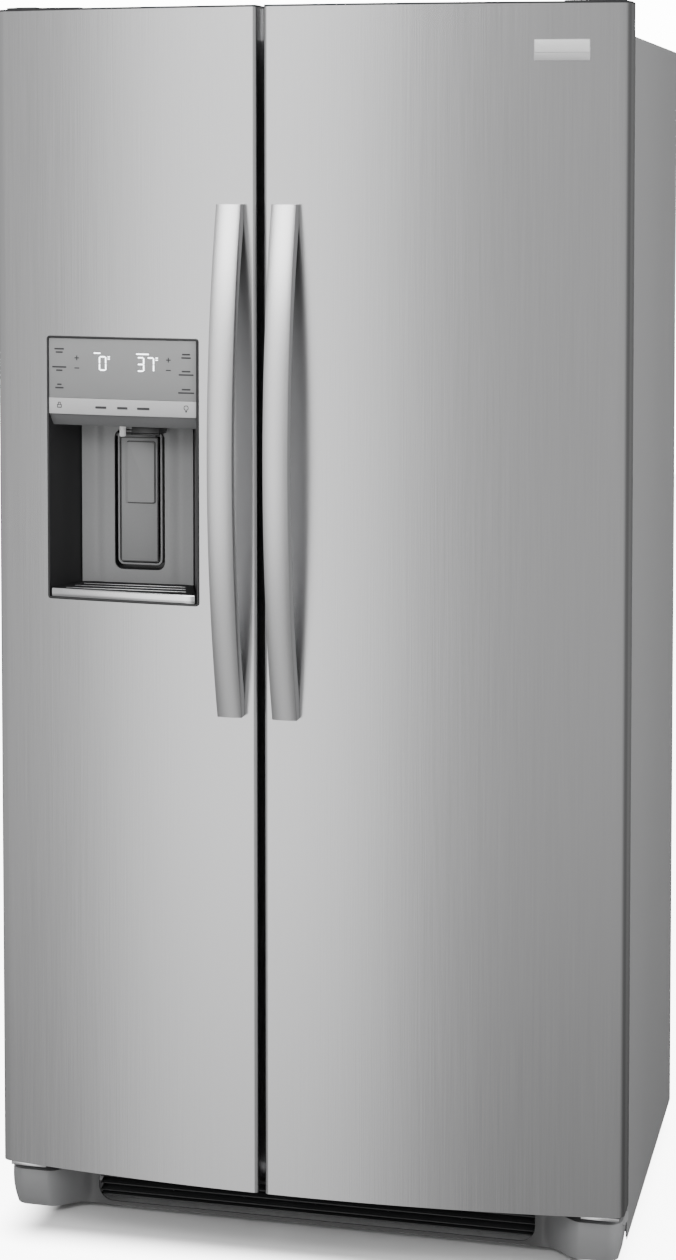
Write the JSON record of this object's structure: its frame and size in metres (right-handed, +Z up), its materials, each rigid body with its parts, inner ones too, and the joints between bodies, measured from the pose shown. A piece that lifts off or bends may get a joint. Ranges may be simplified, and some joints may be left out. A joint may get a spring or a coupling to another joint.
{
  "type": "side by side refrigerator",
  "caption": "Tall side by side refrigerator with curved steel doors, bowed bar handles and an ice and water dispenser; doors, drawers, paddle and tray move.",
  "frame": {"origin": "on the floor under the middle of the whole object, handles included", "axes": "+Z up, +X to the right seen from the front, +Y from the front to the back"},
  "size_m": [0.914, 0.7388, 1.77],
  "materials": {
    "steel": "satin",
    "handle_steel": "satin",
    "cabinet_paint": "satin",
    "zinc": "satin",
    "black_plastic": "matte",
    "grey_plastic": "satin",
    "silver_plastic": "satin",
    "white_plastic": "satin",
    "clear_plastic": "gloss",
    "shelf_glass": "gloss",
    "seal_rubber": "matte",
    "foam": "matte",
    "chrome": "polished"
  },
  "bodies": {
    "cabinet": {"cabinet_shell": "cabinet_paint", "rear_panel": "cabinet_paint", "cabinet_foam": "foam", "freezer_liner": "white_plastic", "fresh_food_liner": "white_plastic", "base_frame": "zinc", "base_grille": "black_plastic", "kick_plate": "grey_plastic", "freezer_upper_hinge": "zinc", "fresh_food_upper_hinge": "zinc", "freezer_hinge_cover": "black_plastic", "fresh_food_hinge_cover": "black_plastic", "freezer_lower_hinge": "zinc", "fresh_food_lower_hinge": "zinc", "compressor": "black_plastic", "condenser": "black_plastic", "machine_cover": "zinc", "evaporator_cover": "white_plastic", "freezer_shelf": "shelf_glass", "fresh_food_shelf_upper": "shelf_glass", "fresh_food_shelf_middle": "shelf_glass", "crisper_cover": "shelf_glass", "ice_maker": "white_plastic"},
    "upper_crisper": {"upper_crisper": "clear_plastic"},
    "lower_crisper": {"lower_crisper": "clear_plastic"},
    "freezer_basket": {"freezer_basket": "white_plastic"},
    "ice_bin": {"ice_bin": "clear_plastic"},
    "condenser_fan": {"condenser_fan": "black_plastic"},
    "left_foot": {"left_levelling_foot": "black_plastic"},
    "right_foot": {"right_levelling_foot": "black_plastic"},
    "left_roller": {"left_rear_roller": "black_plastic"},
    "right_roller": {"right_rear_roller": "black_plastic"},
    "freezer_door": {"freezer_door_skin": "steel", "freezer_door_top_cap": "black_plastic", "freezer_door_bottom_cap": "black_plastic", "freezer_door_foam": "foam", "freezer_door_liner": "white_plastic", "freezer_door_gasket": "seal_rubber", "freezer_door_handle": "handle_steel", "freezer_door_bin_lower": "clear_plastic", "freezer_door_bin_upper": "clear_plastic", "dispenser_housing": "black_plastic", "dispenser_panel": "grey_plastic", "ice_chute": "black_plastic", "water_nozzle": "white_plastic"},
    "paddle": {"dispenser_paddle": "grey_plastic"},
    "flap": {"chute_flap": "black_plastic"},
    "tray": {"drip_tray": "chrome"},
    "fresh_food_door": {"fresh_food_door_skin": "steel", "fresh_food_door_top_cap": "black_plastic", "fresh_food_door_bottom_cap": "black_plastic", "fresh_food_door_foam": "foam", "fresh_food_door_liner": "white_plastic", "fresh_food_door_gasket": "seal_rubber", "fresh_food_door_handle": "handle_steel", "fresh_food_door_bin_lower": "clear_plastic", "fresh_food_door_bin_middle": "clear_plastic", "fresh_food_door_bin_upper": "clear_plastic", "badge": "silver_plastic"}
  },
  "joints": [
    {"name": "freezer_door_hinge", "type": "hinge", "parent": "cabinet", "child": "freezer_door", "pos_m": [-0.437, -0.2406, 0.9], "axis": [0, 0, -1], "range_deg": [0, 125]},
    {"name": "fresh_food_door_hinge", "type": "hinge", "parent": "cabinet", "child": "fresh_food_door", "pos_m": [0.437, -0.2406, 0.9], "axis": [0, 0, 1], "range_deg": [0, 125]},
    {"name": "upper_crisper_slide", "type": "slide", "parent": "cabinet", "child": "upper_crisper", "axis": [0, -1, 0], "range_m": [0, 0.075]},
    {"name": "lower_crisper_slide", "type": "slide", "parent": "cabinet", "child": "lower_crisper", "axis": [0, -1, 0], "range_m": [0, 0.075]},
    {"name": "freezer_basket_slide", "type": "slide", "parent": "cabinet", "child": "freezer_basket", "axis": [0, -1, 0], "range_m": [0, 0.075]},
    {"name": "ice_bin_slide", "type": "slide", "parent": "cabinet", "child": "ice_bin", "axis": [0, -1, 0], "range_m": [0, 0.04]},
    {"name": "condenser_fan_spin", "type": "hinge", "parent": "cabinet", "child": "condenser_fan", "pos_m": [-0.088, 0.2844, 0.125], "axis": [1, 0, 0], "continuous": true},
    {"name": "left_foot_turn", "type": "hinge", "parent": "cabinet", "child": "left_foot", "pos_m": [-0.405, -0.1626, 0], "axis": [0, 0, 1], "continuous": true},
    {"name": "right_foot_turn", "type": "hinge", "parent": "cabinet", "child": "right_foot", "pos_m": [0.405, -0.1626, 0], "axis": [0, 0, 1], "continuous": true},
    {"name": "left_roller_spin", "type": "hinge", "parent": "cabinet", "child": "left_roller", "pos_m": [-0.405, 0.3294, 0.018], "axis": [1, 0, 0], "continuous": true},
    {"name": "right_roller_spin", "type": "hinge", "parent": "cabinet", "child": "right_roller", "pos_m": [0.405, 0.3294, 0.018], "axis": [1, 0, 0], "continuous": true},
    {"name": "paddle_push", "type": "hinge", "parent": "freezer_door", "child": "paddle", "pos_m": [-0.25775, -0.2126, 1.15], "axis": [1, 0, 0], "range_deg": [0, 4.5], "stiffness_Nm_per_rad": 1.5, "springref_deg": -2.86},
    {"name": "flap_swing", "type": "hinge", "parent": "freezer_door", "child": "flap", "pos_m": [-0.2355, -0.2626, 1.1481], "axis": [-1, 0, 0], "range_deg": [0, 50]},
    {"name": "drip_tray_slide", "type": "slide", "parent": "freezer_door", "child": "tray", "axis": [0, -1, 0], "range_m": [0, 0.08]}
  ],
  "couplings": [
    {"joint": "flap_swing", "follows": "paddle_push", "ratio": 11}
  ]
}
